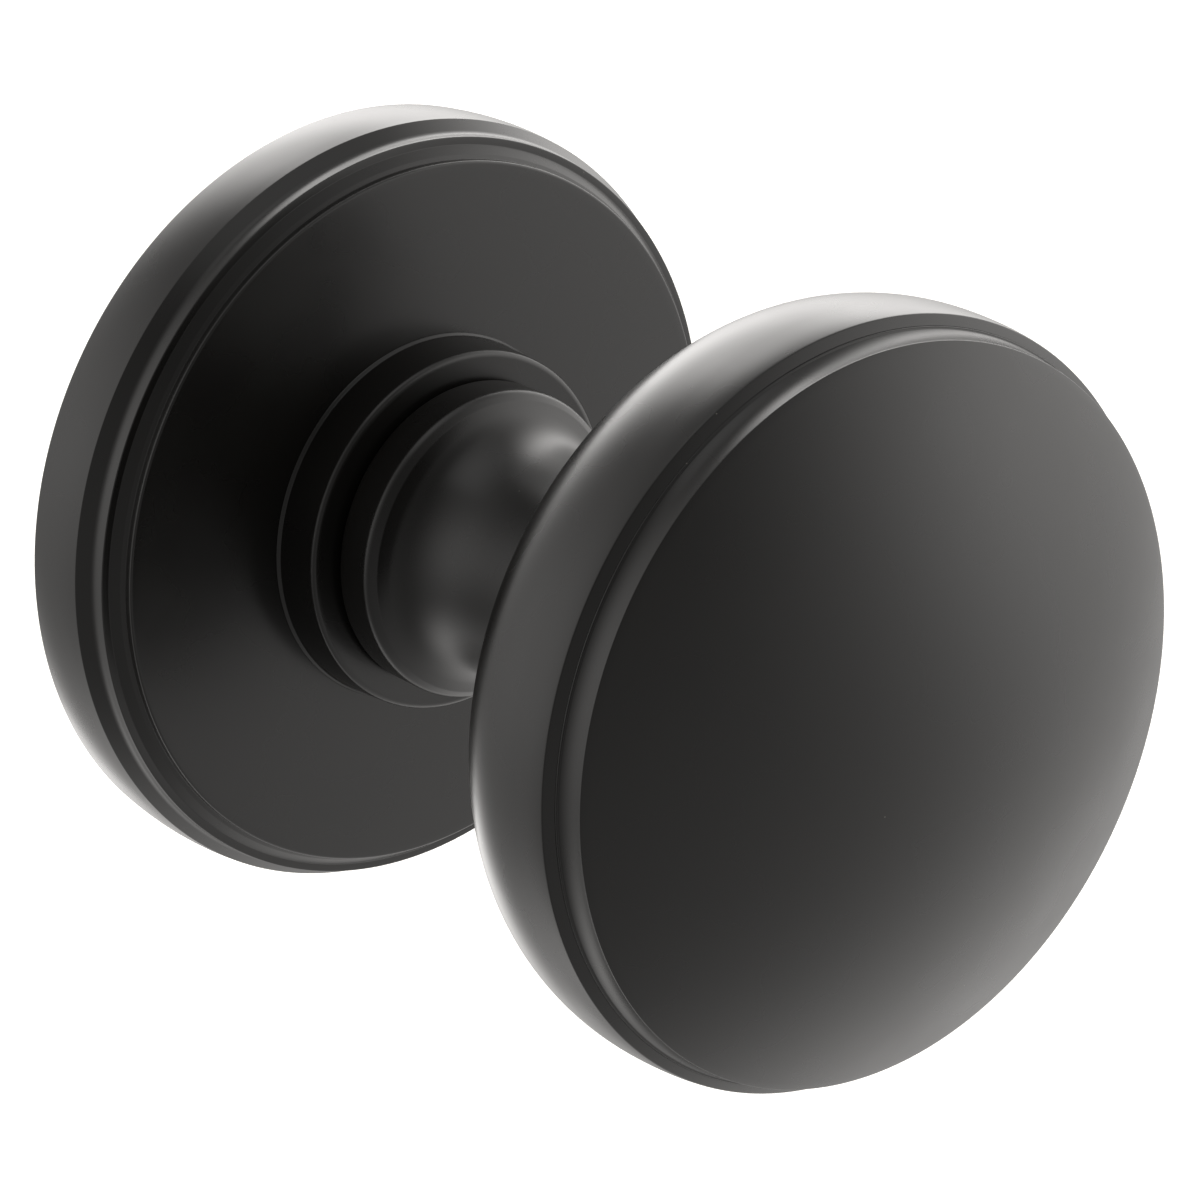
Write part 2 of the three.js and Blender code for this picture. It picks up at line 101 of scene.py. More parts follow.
def makeSatinBlack():
    # Brass under a baked satin black lacquer: nearly no colour of its own, broad soft highlights
    # that whiten at grazing angles, a faint grain, and a few specks of pale dust.
    finish = {"base": "#0e0d0c", "mottle": "#12110f", "dust": "#5c5a55", "rough": (0.26, 0.3),
              "grainMm": 0.22, "grainDepthMm": 0.0016, "mottleMm": 9, "speckMm": 3.4, "speckSize": 0.02,
              "bareShare": 0.62}
    material, tree = newMaterial("satin_black_lacquer")
    place = addNode(tree, "ShaderNodeTexCoord").outputs["Object"]
    mottle = addNode(tree, "ShaderNodeTexNoise", {"Scale": scaleFor(finish["mottleMm"]), "Detail": 3},
                     {"Vector": place}).outputs[0]
    grain = addNode(tree, "ShaderNodeTexNoise", {"Scale": scaleFor(finish["grainMm"]), "Detail": 2},
                    {"Vector": place}).outputs[0]
    cells = addNode(tree, "ShaderNodeTexVoronoi", {"Scale": scaleFor(finish["speckMm"])}, {"Vector": place})
    near = addNode(tree, "ShaderNodeMath", {"operation": "LESS_THAN", 1: finish["speckSize"]},
                   {0: cells.outputs["Distance"]}).outputs[0]
    cellTone = addNode(tree, "ShaderNodeSeparateColor", None, {0: cells.outputs["Color"]}).outputs[0]
    rare = addNode(tree, "ShaderNodeMath", {"operation": "GREATER_THAN", 1: finish["bareShare"]},
                   {0: cellTone}).outputs[0]
    speck = addNode(tree, "ShaderNodeMath", {"operation": "MULTIPLY"}, {0: near, 1: rare}).outputs[0]
    body = addNode(tree, "ShaderNodeMix", {"data_type": "RGBA", 6: linear(finish["base"]),
                                           7: linear(finish["mottle"])}, {0: mottle}).outputs[2]
    colour = addNode(tree, "ShaderNodeMix", {"data_type": "RGBA", 7: linear(finish["dust"])},
                     {0: speck, 6: body}).outputs[2]
    low, high = finish["rough"]
    rough = addNode(tree, "ShaderNodeMapRange", {1: 0.35, 2: 0.65, 3: low, 4: high}, {0: mottle}).outputs[0]
    bump = addNode(tree, "ShaderNodeBump", {"Strength": 0.5, "Distance": finish["grainDepthMm"] * mm},
                   {"Height": grain}).outputs[0]
    finishMaterial(tree, {"IOR": 1.5}, {"Base Color": colour, "Roughness": rough, "Normal": bump})
    return material


# The finishes inside and behind. Two colours mix in clouds: the second starts and is full at the levels in
# "cloudRange", and reaches "most". A fine grain is stretched along Z by "drawn".
finishes = {
    # pressed steel with bright zinc plating: a cloudy, faintly yellow bloom on pale blue-grey, fine scratches
    "zinc_plated_steel": {
        "base": "#b9bcbe", "second": "#c2bda6", "cloudMm": 6, "cloudDetail": 4, "cloudRough": 0.6,
        "cloudRange": (0, 1), "most": 1, "grainMm": 0.25, "grainDetail": 2, "drawn": 14, "rough": (0.3, 0.5),
        "roughFrom": "cloud", "bump": 0.6, "depthMm": 0.004, "shader": {"Metallic": 1},
    },
    # oil-tempered spring wire and strip: dark grey with brown temper colours and a drawn sheen
    "tempered_spring_steel": {
        "base": "#5b5b5e", "second": "#6a5a48", "cloudMm": 5, "cloudDetail": 3, "cloudRough": 0.5,
        "cloudRange": (0.4, 0.7), "most": 0.8, "grainMm": 0.15, "grainDetail": 2, "drawn": 1,
        "rough": (0.28, 0.42), "roughFrom": "grain", "bump": 0.5, "depthMm": 0.003, "shader": {"Metallic": 1},
    },
    # brass cast in sand and left as it came: dull yellow, pebbled, browner in the low spots
    "sand_cast_brass": {
        "base": "#c19a54", "second": "#8a6532", "cloudMm": 5, "cloudDetail": 3, "cloudRough": 0.5,
        "cloudRange": (0.4, 0.7), "most": 0.7, "grainMm": 0.45, "grainDetail": 3, "drawn": 1,
        "rough": (0.36, 0.5), "roughFrom": "grain", "bump": 0.7, "depthMm": 0.03, "shader": {"Metallic": 1},
    },
    # natural nylon as it left the mould: waxy off-white with a fine spark-eroded texture
    "moulded_nylon": {
        "base": "#ddd6c4", "second": "#cfc6b0", "cloudMm": 4, "cloudDetail": 3, "cloudRough": 0.5,
        "cloudRange": (0, 1), "most": 1, "grainMm": 0.12, "grainDetail": 2, "drawn": 1, "rough": (0.42, 0.55),
        "roughFrom": "grain", "bump": 0.5, "depthMm": 0.004,
        "shader": {"IOR": 1.53, "Subsurface Weight": 0.15, "Subsurface Scale": 0.001},
    },
    # steel blackened in hot salts and oiled: blue-black, worn greyer in places
    "black_oxide_steel": {
        "base": "#1d1e21", "second": "#3a3a3c", "cloudMm": 1.2, "cloudDetail": 4, "cloudRough": 0.6,
        "cloudRange": (0.55, 0.75), "most": 0.8, "grainMm": 0.1, "grainDetail": 2, "drawn": 1,
        "rough": (0.35, 0.5), "roughFrom": "grain", "bump": 0.5, "depthMm": 0.003, "shader": {"Metallic": 1},
    },
}


def makeFinish(name):
    finish = finishes[name]
    material, tree = newMaterial(name)
    place = addNode(tree, "ShaderNodeTexCoord").outputs["Object"]
    drawn = addNode(tree, "ShaderNodeMapping", {"Scale": (1, 1, 1 / finish["drawn"])},
                    {"Vector": place}).outputs[0]
    cloud = addNode(tree, "ShaderNodeTexNoise",
                    {"Scale": scaleFor(finish["cloudMm"]), "Detail": finish["cloudDetail"],
                     "Roughness": finish["cloudRough"]}, {"Vector": place}).outputs[0]
    grain = addNode(tree, "ShaderNodeTexNoise",
                    {"Scale": scaleFor(finish["grainMm"]), "Detail": finish["grainDetail"]},
                    {"Vector": drawn}).outputs[0]
    start, full = finish["cloudRange"]
    share = addNode(tree, "ShaderNodeMapRange", {1: start, 2: full, 3: 0, 4: finish["most"]},
                    {0: cloud}).outputs[0]
    colour = addNode(tree, "ShaderNodeMix", {"data_type": "RGBA", 6: linear(finish["base"]),
                                             7: linear(finish["second"])}, {0: share}).outputs[2]
    low, high = finish["rough"]
    rough = addNode(tree, "ShaderNodeMapRange", {1: 0.3, 2: 0.7, 3: low, 4: high},
                    {0: cloud if finish["roughFrom"] == "cloud" else grain}).outputs[0]
    bump = addNode(tree, "ShaderNodeBump", {"Strength": finish["bump"], "Distance": finish["depthMm"] * mm},
                   {"Height": grain}).outputs[0]
    finishMaterial(tree, finish["shader"], {"Base Color": colour, "Roughness": rough, "Normal": bump})
    return material


materials = {
    "satin_black": makeSatinBlack(),
    "zinc_steel": makeFinish("zinc_plated_steel"),
    "spring_steel": makeFinish("tempered_spring_steel"),
    "cast_brass": makeFinish("sand_cast_brass"),
    "nylon": makeFinish("moulded_nylon"),
    "black_oxide": makeFinish("black_oxide_steel"),
}
print("materials made:", len(materials))


# Outlines are in millimetres, as (radius, out).
def bezier(start, first, second, end, steps):
    # points of a cubic after its start
    found = []
    for i in range(1, steps + 1):
        t = i / steps
        weights = ((1 - t) ** 3, 3 * t * (1 - t) ** 2, 3 * t * t * (1 - t), t ** 3)
        pairs = list(zip(weights, (start, first, second, end)))
        found.append(tuple(sum(w * p[k] for w, p in pairs) for k in (0, 1)))
    return found


def roundedOutline(corners, closed=True, arcSteps=5):
    # Each corner is (radius, out, rounding). A rounding of 0 keeps the point as it is, on a smooth stretch.
    # A holding point is set just past each rounding, so that flat stretches shade flat.
    hold = 0.06
    found = []
    count = len(corners)
    for i, (r, out, rounding) in enumerate(corners):
        here = Vector((r, out))
        atEnd = not closed and i in (0, count - 1)
        if atEnd or rounding == 0:
            found.append(here)
            continue
        toLast = Vector(corners[i - 1][:2]) - here
        toNext = Vector(corners[(i + 1) % count][:2]) - here
        turn = math.pi - toLast.angle(toNext)
        room = 0.45 * min(toLast.length, toNext.length)
        reach = min(rounding * math.tan(turn / 2), room)
        radius = reach / math.tan(turn / 2)
        first, last = here + toLast.normalized() * reach, here + toNext.normalized() * reach
        centre = here + (toLast.normalized() + toNext.normalized()).normalized() * math.hypot(radius, reach)
        if reach + hold < room:
            found.append(first + toLast.normalized() * hold)
        fromCentre, toCentre = first - centre, last - centre
        sweep = fromCentre.angle_signed(toCentre)
        for k in range(arcSteps + 1):
            spin = -sweep * k / arcSteps
            found.append(centre + Vector((fromCentre.x * math.cos(spin) - fromCentre.y * math.sin(spin),
                                          fromCentre.x * math.sin(spin) + fromCentre.y * math.cos(spin))))
        if reach + hold < room:
            found.append(last + toNext.normalized() * hold)
    return found


def smooth(points):
    # points of a curve, as corners that keep their place
    return [(r, out, 0) for r, out in points]


def newTree(name, inputs):
    tree = bpy.data.node_groups.new(name, "GeometryNodeTree")
    tree.interface.new_socket("Geometry", in_out="INPUT", socket_type="NodeSocketGeometry")
    sockets = {}
    for label, kind in inputs.items():
        socket = tree.interface.new_socket(label, in_out="INPUT", socket_type="NodeSocket" + kind)
        sockets[label] = socket.identifier
    tree.interface.new_socket("Geometry", in_out="OUTPUT", socket_type="NodeSocketGeometry")
    return tree, addNode(tree, "NodeGroupInput"), sockets


def endTree(tree, given, geometry):
    shaded = addNode(tree, "GeometryNodeSetShadeSmooth", None, {"Geometry": geometry})
    real = addNode(tree, "GeometryNodeRealizeInstances", None, {"Geometry": shaded.outputs[0]})
    dressed = addNode(tree, "GeometryNodeSetMaterial", None,
                      {"Geometry": real.outputs[0], "Material": given.outputs["Material"]})
    addNode(tree, "NodeGroupOutput", None, {"Geometry": dressed.outputs[0]})


def makeLatheTree():
    # Sweeps the outline round a small circle, which stands for the lathe's centre line.
    tree, given, sockets = newTree("lathe", {"Sides": "Int", "Centre Radius": "Float",
                                             "Material": "Material"})
    outlineCurve = addNode(tree, "GeometryNodeMeshToCurve", None, {"Mesh": given.outputs["Geometry"]})
    circle = addNode(tree, "GeometryNodeCurvePrimitiveCircle", None,
                     {"Resolution": given.outputs["Sides"], "Radius": given.outputs["Centre Radius"]})
    upright = addNode(tree, "GeometryNodeSetCurveNormal", {"mode": "Z_UP"}, {"Curve": circle.outputs[0]})
    swept = addNode(tree, "GeometryNodeCurveToMesh", None,
                    {"Curve": upright.outputs[0], "Profile Curve": outlineCurve.outputs[0]})
    closed = addNode(tree, "GeometryNodeMergeByDistance", {"Distance": 1e-7}, {"Geometry": swept.outputs[0]})
    turned = addNode(tree, "GeometryNodeTransform", {"Rotation": (math.pi / 2, 0, 0)},
                     {"Geometry": closed.outputs[0]})
    endTree(tree, given, turned.outputs[0])
    return tree, sockets


def applyTree(piece, treeAndSockets, values):
    tree, sockets = treeAndSockets
    modifier = piece.modifiers.new(tree.name, "NODES")
    modifier.node_group = tree
    for label, value in values.items():
        modifier[sockets[label]] = value


def plainMesh(piece):
    # what the modifiers make becomes the piece's own mesh
    bpy.context.view_layer.update()
    evaluated = piece.evaluated_get(bpy.context.evaluated_depsgraph_get())
    mesh = bpy.data.meshes.new_from_object(evaluated)
    piece.modifiers.clear()
    piece.data = mesh
    work = bmesh.new()
    work.from_mesh(mesh)
    bmesh.ops.remove_doubles(work, verts=work.verts, dist=1e-7)
    bmesh.ops.dissolve_degenerate(work, edges=work.edges, dist=1e-8)
    bmesh.ops.recalc_face_normals(work, faces=work.faces)
    work.to_mesh(mesh)
    work.free()
    return piece


def newPiece(name, mesh):
    piece = bpy.data.objects.new(name, mesh)
    bpy.context.scene.collection.objects.link(piece)
    return piece


def handOver(piece, body, slot, *replaced):
    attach(piece, body)
    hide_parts(*replaced)


latheTree = makeLatheTree()
centreRadius = 1.0  # millimetres, of the circle that an outline is swept round


def turnedPiece(name, corners, slot, closed=True, sides=256):
    # a piece turned about the knob's axis, from the corners of its outline
    outline = roundedOutline(corners, closed)
    points = [((p.x - centreRadius) * mm, -p.y * mm, 0) for p in outline]
    edges = [(i, i + 1) for i in range(len(points) - 1)]
    if closed:
        edges.append((len(points) - 1, 0))
    mesh = bpy.data.meshes.new(name)
    mesh.from_pydata(points, edges, [])
    piece = newPiece(name, mesh)
    applyTree(piece, latheTree, {"Sides": sides, "Centre Radius": centreRadius * mm,
                                 "Material": materials[slot]})
    return plainMesh(piece)


# "In" is a distance in from the widest radius.
rose = {
    "wall": 1.3, "backIn": 0.36, "bulge": 0.35, "cornerIn": 0.1, "cornerOut": 6.0, "ledgeIn": 0.86,
    "ledgeOut": 7.1, "coveIn": 0.22, "coveRise": 0.3, "coveFall": 0.6, "crestIn": 1.04, "crestOut": 8.38,
    "dishIn": 1.7, "dishOut": 8.42, "grooveIn": 2.36, "grooveOut": 9.1, "edgeIn": 2.68, "edgeFootOut": 9.32,
    "edgeOut": 10.08, "edgeRound": 0.22, "faceIn": 0.9, "faceRise": 0.1, "seatR": 16.2, "holeR": 14.5,
}
collar = {"spigotR": 14.2, "wall": 2.1, "lip": 1.1, "lipHoleR": 11.7, "frontIn": 0.12, "frontRound": 0.5}


def makeRoseCover():
    outerR = nodeRadius("rose_cover")
    front = nodeFront("rose_cover")
    cornerR, backR = outerR - rose["cornerIn"], outerR - rose["backIn"]
    wall = rose["wall"]
    side = bezier((backR, 0), (backR + rose["bulge"], 2), (cornerR + 0.2, 4), (cornerR, rose["cornerOut"]), 8)
    wallFoot = (outerR - rose["ledgeIn"], rose["ledgeOut"])
    crest = (outerR - rose["crestIn"], rose["crestOut"])
    cove = bezier(wallFoot, (wallFoot[0] - rose["coveIn"], wallFoot[1] + rose["coveRise"]),
                  (crest[0], crest[1] - rose["coveFall"]), crest, 6)
    edgeR = outerR - rose["edgeIn"]
    corners = [(backR, 0, 0.15)]
    corners += smooth(side[:-1])
    corners += [(cornerR, rose["cornerOut"], 0.12), (*wallFoot, 0.1)]
    corners += smooth(cove[:-1])
    corners += [
        (*crest, 0.1),
        (outerR - rose["dishIn"], rose["dishOut"], 0.1),
        (outerR - rose["grooveIn"], rose["grooveOut"], 0.08),
        (edgeR, rose["edgeFootOut"], 0.06),
        (edgeR, rose["edgeOut"], rose["edgeRound"]),
        (edgeR - rose["faceIn"], rose["edgeOut"] + rose["faceRise"], 0),
        (rose["seatR"], front, 0),
        (rose["holeR"], front, 0.1),
        (rose["holeR"], front - wall, 0.1),
        (edgeR - wall, rose["edgeOut"] - wall, 0.6),
        (backR - wall - 0.6, rose["crestOut"] - wall, 0.8),
        (backR - wall, rose["cornerOut"] - wall, 0.6),
        (backR - wall, 0, 0.15),
    ]
    piece = turnedPiece("rose_cover_turned", corners, "satin_black")
    handOver(piece, "rose", "satin_black", "rose_cover")


def makeRoseCollar():
    baseR = nodeRadius("rose_collar")
    front = nodeFront("rose_collar")
    seat = nodeFront("rose_cover")
    back = nodeBack("rose_collar")
    innerR, lipBack = baseR - collar["wall"], front - collar["lip"]
    # a thin foot spreads over the rose's face and sweeps up into the wall
    corners = [
        (collar["spigotR"], back, 0.2),
        (collar["spigotR"], seat + 0.02, 0.05),
        (baseR + 0.28, seat + 0.02, 0.02),
        (baseR + 0.2, seat + 0.12, 0.1),
        (baseR + 0.03, seat + 0.3, 0.15),
        (baseR - collar["frontIn"], front, collar["frontRound"]),
        (collar["lipHoleR"], front, 0.25),
        (collar["lipHoleR"], lipBack, 0.1),
        (innerR, lipBack, 0.2),
        (innerR, back, 0.2),
    ]
    piece = turnedPiece("rose_collar_turned", corners, "satin_black")
    handOver(piece, "rose", "satin_black", "rose_collar")


makeRoseCover()
makeRoseCollar()
print("rose made")


neck = {
    "journalR": 11.1, "flangeR": 13.3, "flangeBack": 15.6, "flangeOut": 19.2, "flangeRound": 1.1,
    "brimR": 12.6, "brimOut": 19.8, "shoulderR": 8.3, "shoulderOut": 21.5, "throatOut": 28, "waistR": 8.6,
    "waistOut": 42, "flareOut": 44.1, "flareR": 11.2, "lipOut": 45.3, "topR": 13.2, "boreR": 7.3,
}
knob = {
    "bossR": 13.4, "wall": 1.4, "bowlR": 19.4, "bowlRise": 1.6, "heelR": 25, "heelRise": 2.6, "backR": 28,
    "backRimOut": 51.2, "shoulderR": 30.8, "shoulderRise": 1.6, "rimRise": 5.6, "sideOut": 61.2,
    "sideRise": 1.4, "sideIn": 0.04, "cornerFall": 0.9, "cornerOut": 64.43, "cornerIn": 0.2, "ledgeR": 31.3,
    "ledgeOut": 64.98, "stepOut": 65.12, "stepWidth": 0.15, "arrisR": 30.8, "arrisOut": 67.35,
    "rebateOut": 62.9, "rebate": 0.6, "skirtOut": 59.2, "clearance": 0.3,
}


def makeNeck():
    top = nodeFront("neck")
    back = nodeBack("neck")
    brim = (neck["brimR"], neck["brimOut"])
    lower = bezier(brim, (neck["shoulderR"], neck["shoulderOut"]), (neck["waistR"], neck["throatOut"]),
                   (neck["waistR"], neck["waistOut"]), 28)
    upper = bezier(lower[-1], (neck["waistR"], neck["flareOut"]), (neck["flareR"], neck["lipOut"]),
                   (neck["topR"], top), 20)
    corners = [
        (neck["boreR"], back, 0.1),
        (neck["journalR"], back, 0.2),
        (neck["journalR"], neck["flangeBack"], 0.1),
        (neck["flangeR"] - 0.1, neck["flangeBack"], 0.3),
        (neck["flangeR"], neck["flangeOut"], neck["flangeRound"]),
        (*brim, 0.6),
    ]
    corners += smooth(lower[1:] + upper[:-1])
    corners += [(neck["topR"], top, 0.1), (neck["boreR"], top, 0.1)]
    piece = turnedPiece("neck_turned", corners, "satin_black")
    carve(piece, "DIFFERENCE", [setScrewBore()])
    shadeByAngle(piece)
    handOver(piece, "knob", "satin_black", "neck")


def makeKnobBack():
    rimR = nodeRadius("knob_back_shell")
    back = nodeBack("knob_back_shell")
    wall, bossR, backR, rimBase = knob["wall"], knob["bossR"], knob["backR"], knob["backRimOut"]
    bowl = bezier((bossR, back), (knob["bowlR"], back + knob["bowlRise"]),
                  (knob["heelR"], back + knob["heelRise"]), (backR, rimBase), 16)
    rim = bezier((backR, rimBase), (knob["shoulderR"], rimBase + knob["shoulderRise"]),
                 (rimR, rimBase + knob["rimRise"]), (rimR, knob["sideOut"]), 24)
    side = bezier((rimR, knob["sideOut"]), (rimR, knob["sideOut"] + knob["sideRise"]),
                  (rimR - knob["sideIn"], knob["cornerOut"] - knob["cornerFall"]),
                  (rimR - knob["cornerIn"], knob["cornerOut"]), 12)
    skirtR = knob["ledgeR"] - knob["rebate"]
    skirtOut = knob["skirtOut"] - knob["clearance"]
    inner = bezier((skirtR, skirtOut), (skirtR, knob["skirtOut"] - knob["heelRise"]),
                   (backR + wall, rimBase + 2 * wall), (backR - wall / 2, rimBase + wall), 8)
    innerBowl = bezier(inner[-1], (knob["heelR"], back + knob["heelRise"] + wall),
                       (knob["bowlR"], back + knob["bowlRise"] + wall), (bossR, back + wall), 8)
    corners = [(neck["boreR"], back, 0.1), (bossR, back, 0.3)]
    corners += smooth(bowl + rim + side[1:-1])
    corners += [
        (*side[-1], 0.2),
        (knob["ledgeR"], knob["ledgeOut"], 0.02),
        (knob["ledgeR"], knob["rebateOut"], 0.05),
        (skirtR, knob["rebateOut"], 0.05),
        (skirtR, skirtOut, 0),
    ]
    corners += smooth(inner + innerBowl)
    corners += [(neck["boreR"], back + wall, 0.1)]
    piece = turnedPiece("knob_back_turned", corners, "satin_black")
    handOver(piece, "knob", "satin_black", "knob_back_shell")


def makeKnobFace():
    top = nodeFront("knob_face_cap")
    arrisR, arrisOut, wall = knob["arrisR"], knob["arrisOut"], knob["wall"]
    footR = knob["ledgeR"]
    innerR = footR - knob["rebate"] - wall
    rise = top - arrisOut

    def dome(halfWidth, height, topOut, steps):
        # a cap of a sphere, from its rim to its middle
        radius = (halfWidth ** 2 + height ** 2) / (2 * height)
        widest = math.asin(halfWidth / radius)
        return [(radius * math.sin(widest * (1 - i / steps)), topOut - radius + radius *
                 math.cos(widest * (1 - i / steps))) for i in range(steps + 1)]

    stepOut, coveR = knob["stepOut"], footR - knob["stepWidth"]
    cove = bezier((coveR, stepOut), (arrisR + 0.1, stepOut + 0.4), (arrisR - 0.12, arrisOut - 1.1),
                  (arrisR, arrisOut), 12)
    outside = dome(arrisR, rise, top, 40)
    inside = dome(innerR, rise - knob["clearance"], top - wall, 24)
    corners = [(0, top - wall, 0)]
    corners += smooth(reversed(inside[:-1]))
    corners += [
        (innerR, knob["skirtOut"], 0.1),
        (footR - knob["rebate"], knob["skirtOut"], 0.1),
        (footR - knob["rebate"], knob["rebateOut"] + knob["clearance"], 0.05),
        (footR, knob["rebateOut"] + knob["clearance"], 0.05),
        (footR, stepOut, 0.08),
        (coveR, stepOut, 0),
    ]
    corners += smooth(cove[:-1])
    corners += [(arrisR, arrisOut, 0.12)]
    corners += smooth(outside[1:])
    piece = turnedPiece("knob_face_turned", corners, "satin_black", closed=False)
    handOver(piece, "knob", "satin_black", "knob_face_cap")


def makeCopiesTree():
    # Sets copies of a piece on a circle about the knob's axis, evenly spaced and each turned to face outward.
    tree, given, sockets = newTree("copies round the axis", {"Count": "Int", "Radius": "Float",
                                                             "Start Angle": "Float", "Material": "Material"})
    points = addNode(tree, "GeometryNodePoints", None, {"Count": given.outputs["Count"]})
    index = addNode(tree, "GeometryNodeInputIndex").outputs[0]
    step = addNode(tree, "ShaderNodeMath", {"operation": "DIVIDE", 0: 2 * math.pi},
                   {1: given.outputs["Count"]}).outputs[0]
    angle = addNode(tree, "ShaderNodeMath", {"operation": "MULTIPLY_ADD"},
                    {0: index, 1: step, 2: given.outputs["Start Angle"]}).outputs[0]
    across = addNode(tree, "ShaderNodeMath", {"operation": "COSINE"}, {0: angle}).outputs[0]
    upward = addNode(tree, "ShaderNodeMath", {"operation": "SINE"}, {0: angle}).outputs[0]
    direction = addNode(tree, "ShaderNodeCombineXYZ", None, {"X": across, "Z": upward}).outputs[0]
    place = addNode(tree, "ShaderNodeVectorMath", {"operation": "SCALE"},
                    {"Vector": direction, "Scale": given.outputs["Radius"]}).outputs[0]
    placed = addNode(tree, "GeometryNodeSetPosition", None,
                     {"Geometry": points.outputs[0], "Position": place})
    back = addNode(tree, "ShaderNodeMath", {"operation": "MULTIPLY", 1: -1.0}, {0: angle}).outputs[0]
    facing = addNode(tree, "ShaderNodeCombineXYZ", None, {"Y": back}).outputs[0]
    copies = addNode(tree, "GeometryNodeInstanceOnPoints", None,
                     {"Points": placed.outputs[0], "Instance": given.outputs["Geometry"], "Rotation": facing})
    endTree(tree, given, copies.outputs[0])
    return tree, sockets


copiesTree = makeCopiesTree()


def copyAround(piece, slot, count, radius, startAngle):
    applyTree(piece, copiesTree, {"Count": count, "Radius": radius * mm, "Material": materials[slot],
                                  "Start Angle": math.radians(startAngle)})
    return plainMesh(piece)


def prism(corners, low, high):
    # a closed bar along Y, from its section's corners (x, z) in millimetres
    count = len(corners)
    points = [(x * mm, -out * mm, z * mm) for out in (low, high) for x, z in corners]
    faces = [tuple(range(count)), tuple(range(2 * count - 1, count - 1, -1))]
    faces += [(i, count + i, count + (i + 1) % count, (i + 1) % count) for i in range(count)]
    return points, faces


def regular(r, sides):
    turn = 2 * math.pi / sides
    return [(r * math.cos(turn * i), r * math.sin(turn * i)) for i in range(sides)]


def roundBar(r, low, high, x=0.0, z=0.0, sides=40):
    return prism([(x + dx, z + dz) for dx, dz in regular(r, sides)], low, high)


def threadedBar(thread, low, high):
    # a bar whose radius rises and falls once each pitch, along a helix
    aroundSteps, perPitch = 36, 8
    r, pitch, depth = thread["r"], thread["pitch"], thread["depth"]
    rows = max(2, round((high - low) / pitch * perPitch))
    points = []
    for row in range(rows + 1):
        out = low + (high - low) * row / rows
        for i in range(aroundSteps):
            wave = (out / pitch + i / aroundSteps) % 1
            radius = r - depth * (1 - abs(2 * wave - 1))
            a = 2 * math.pi * i / aroundSteps
            points.append((radius * math.cos(a) * mm, -out * mm, radius * math.sin(a) * mm))
    faces = [tuple(range(aroundSteps)), tuple(range(len(points) - 1, len(points) - 1 - aroundSteps, -1))]
    for row in range(rows):
        base = row * aroundSteps
        for i in range(aroundSteps):
            j = (i + 1) % aroundSteps
            faces.append((base + i, base + aroundSteps + i, base + aroundSteps + j, base + j))
    return points, faces


def joinedMesh(name, parts):
    points, faces = [], []
    for partPoints, partFaces in parts:
        start = len(points)
        points += partPoints
        faces += [tuple(start + i for i in face) for face in partFaces]
    mesh = bpy.data.meshes.new(name)
    mesh.from_pydata(points, [], faces)
    work = bmesh.new()
    work.from_mesh(mesh)
    bmesh.ops.recalc_face_normals(work, faces=work.faces)
    work.to_mesh(mesh)
    work.free()
    return mesh


def carve(piece, operation, parts):
    # cuts parts from a piece, or joins them on
    for part in parts:
        tool = newPiece("tool", joinedMesh("tool", [part]))
        modifier = piece.modifiers.new("carve", "BOOLEAN")
        modifier.operation, modifier.solver, modifier.object = operation, "EXACT", tool
        plainMesh(piece)
        bpy.data.objects.remove(tool)


def softenEdges(piece, width, segments=2, angle=35):
    # small rounds on the hard edges that a cut leaves
    modifier = piece.modifiers.new("edge rounds", "BEVEL")
    modifier.width, modifier.segments = width * mm, segments
    modifier.limit_method, modifier.angle_limit = "ANGLE", math.radians(angle)
    plainMesh(piece)


def shadeByAngle(piece, angle=35):
    # flat faces stay crisp where they meet at more than this angle
    work = bmesh.new()
    work.from_mesh(piece.data)
    for face in work.faces:
        face.smooth = True
    for edge in work.edges:
        edge.smooth = len(edge.link_faces) != 2 or edge.calc_face_angle(0) < math.radians(angle)
    work.to_mesh(piece.data)
    work.free()


def moved(part, shift):
    points, faces = part
    return [tuple(p[k] + shift[k] * mm for k in range(3)) for p in points], faces


def laidAlongZ(part):
    # a bar along Y, stood up along Z with its front end down
    points, faces = part
    return [(x, z, y) for x, y, z in points], [tuple(reversed(face)) for face in faces]


def dressed(piece, slot):
    piece.data.materials.clear()
    piece.data.materials.append(materials[slot])
    return piece


plate = {"bossHoleR": 11.5, "woodScrewR": 26.6, "woodScrewHoleR": 2.4, "screwCircleR": 21.2,
         "screwHoleR": 1.8, "rivetCircleR": 26, "rivetHoleR": 1.4, "postSpacing": 38, "postHoleR": 3.3,
         "postSeatR": 4.5, "postSeatOut": 0.9, "edge": 0.25}
screwAngles = (0, 120, 240)
clipAngles = (90, 210, 330)


def around(r, angle):
    return r * math.cos(math.radians(angle)), r * math.sin(math.radians(angle))


